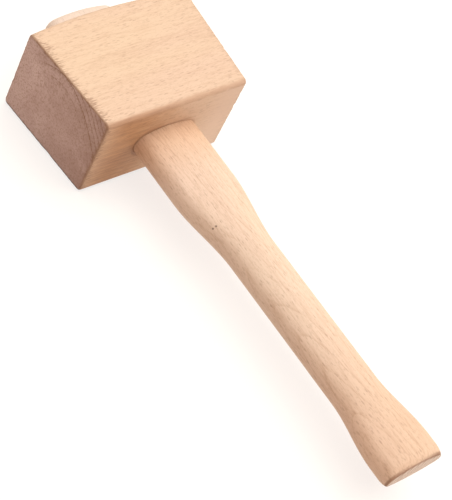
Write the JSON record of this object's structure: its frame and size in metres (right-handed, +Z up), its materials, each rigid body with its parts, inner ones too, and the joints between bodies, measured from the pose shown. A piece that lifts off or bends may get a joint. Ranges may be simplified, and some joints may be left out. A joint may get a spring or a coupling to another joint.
{
  "type": "wooden mallet",
  "caption": "Joiner's mallet with a tapered rectangular hardwood head and an oval, waisted handle driven through it from the top and held by its taper.",
  "frame": {"origin": "centre of the broad face that the head rests on, straight below the handle's axis", "axes": "+X along the head from one striking face to the other, +Y along the handle towards the top of the head, +Z up through the head's thickness, away from the face that it rests on"},
  "size_m": [0.1148, 0.343, 0.06],
  "materials": {
    "head_beech": "sanded beech, fine grain along the head, end grain on the striking faces",
    "handle_beech": "sanded beech, grain along the handle"
  },
  "bodies": {
    "head": {"head": "head_beech"},
    "handle": {"handle": "handle_beech"}
  },
  "joints": [
    {"name": "handle_slide", "type": "slide", "parent": "head", "child": "handle", "axis": [0, 1, 0], "range_m": [0, 0.33]}
  ]
}
